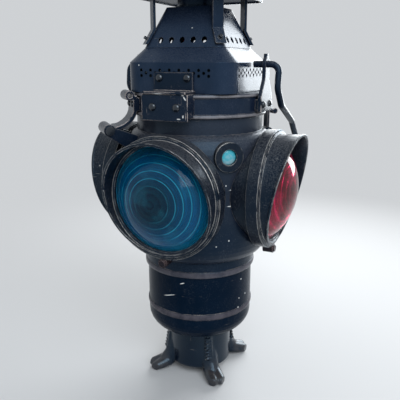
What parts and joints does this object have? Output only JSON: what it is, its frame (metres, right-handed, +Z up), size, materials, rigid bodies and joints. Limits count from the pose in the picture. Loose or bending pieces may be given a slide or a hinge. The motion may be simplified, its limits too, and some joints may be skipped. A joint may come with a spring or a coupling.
{
  "type": "railway signal lamp",
  "caption": "Oil-burning railway switch lamp with coloured domed lenses under slanted hoods, a hinged ventilated lid, a carrying bail and a cast claw base.",
  "frame": {"origin": "on the lamp's axis at the mouth of the stand socket, level with the toes", "axes": "+Z up along the lamp's axis; the blue lenses face -Y and +Y, the red ones +X and -X"},
  "size_m": [0.2504, 0.2548, 0.4701],
  "materials": {
    "black_paint": "worn satin",
    "cast_iron": "worn black paint",
    "blue_glass": "polished",
    "red_glass": "polished",
    "peep_glass": "polished",
    "gasket": "matte",
    "brass": "dull",
    "fastener": "painted over, worn",
    "wick": "woven"
  },
  "bodies": {
    "body": {"base_casting": "cast_iron", "base_rivets": "fastener", "oil_housing": "black_paint", "drum": "black_paint", "lens_collar_front": "black_paint", "lens_collar_right": "black_paint", "lens_collar_back": "black_paint", "lens_collar_left": "black_paint", "lens_gasket_front": "gasket", "lens_gasket_right": "gasket", "lens_gasket_back": "gasket", "lens_gasket_left": "gasket", "lens_front": "blue_glass", "lens_right": "red_glass", "lens_back": "blue_glass", "lens_left": "red_glass", "hood_front": "black_paint", "hood_right": "black_paint", "hood_back": "black_paint", "hood_left": "black_paint", "hood_studs": "black_paint", "peep_ring": "black_paint", "peep_glass": "peep_glass", "hinge_bracket": "black_paint", "hinge_pin": "fastener", "latch_bracket": "black_paint", "latch_pin": "fastener", "oil_fount": "brass", "filler_cap": "brass", "burner": "brass"},
    "lid": {"hinge_arm": "black_paint", "hinge_rivets": "fastener", "lid_band": "black_paint", "vent_box": "black_paint", "draft_hood": "black_paint", "chimney": "black_paint", "cap": "black_paint", "cap_straps": "black_paint", "strap_rivets": "fastener", "bail_ear_right": "black_paint", "bail_ear_left": "black_paint", "ear_rivets": "fastener", "lift_bracket": "black_paint", "clasp_plate": "black_paint", "bracket_rivets": "fastener"},
    "bail": {"bail": "black_paint"},
    "latch": {"latch_lever": "black_paint"},
    "wick_wheel": {"wick_wheel": "brass"},
    "wick": {"wick": "wick"}
  },
  "joints": [
    {"name": "lid_hinge", "type": "hinge", "parent": "body", "child": "lid", "pos_m": [-0.07849, -0.07849, 0.317], "axis": [0.7071, -0.7071, 0], "range_deg": [0, 105]},
    {"name": "bail_swing", "type": "hinge", "parent": "lid", "child": "bail", "pos_m": [0, 0, 0.387], "axis": [1, 0, 0], "range_deg": [0, 135]},
    {"name": "latch_press", "type": "hinge", "parent": "body", "child": "latch", "pos_m": [0.06293, 0.06293, 0.307], "axis": [-0.7071, 0.7071, 0], "range_deg": [0, 12], "stiffness_Nm_per_rad": 0.6},
    {"name": "wick_turn", "type": "hinge", "parent": "body", "child": "wick_wheel", "pos_m": [0.0086, 0, 0.208], "axis": [0, 1, 0], "range_deg": [0, 100]},
    {"name": "wick_slide", "type": "slide", "parent": "body", "child": "wick", "axis": [0, 0, 1], "range_m": [0, 0.0081]}
  ],
  "couplings": [
    {"joint": "wick_slide", "follows": "wick_turn", "m_per_rad": 0.0046}
  ]
}
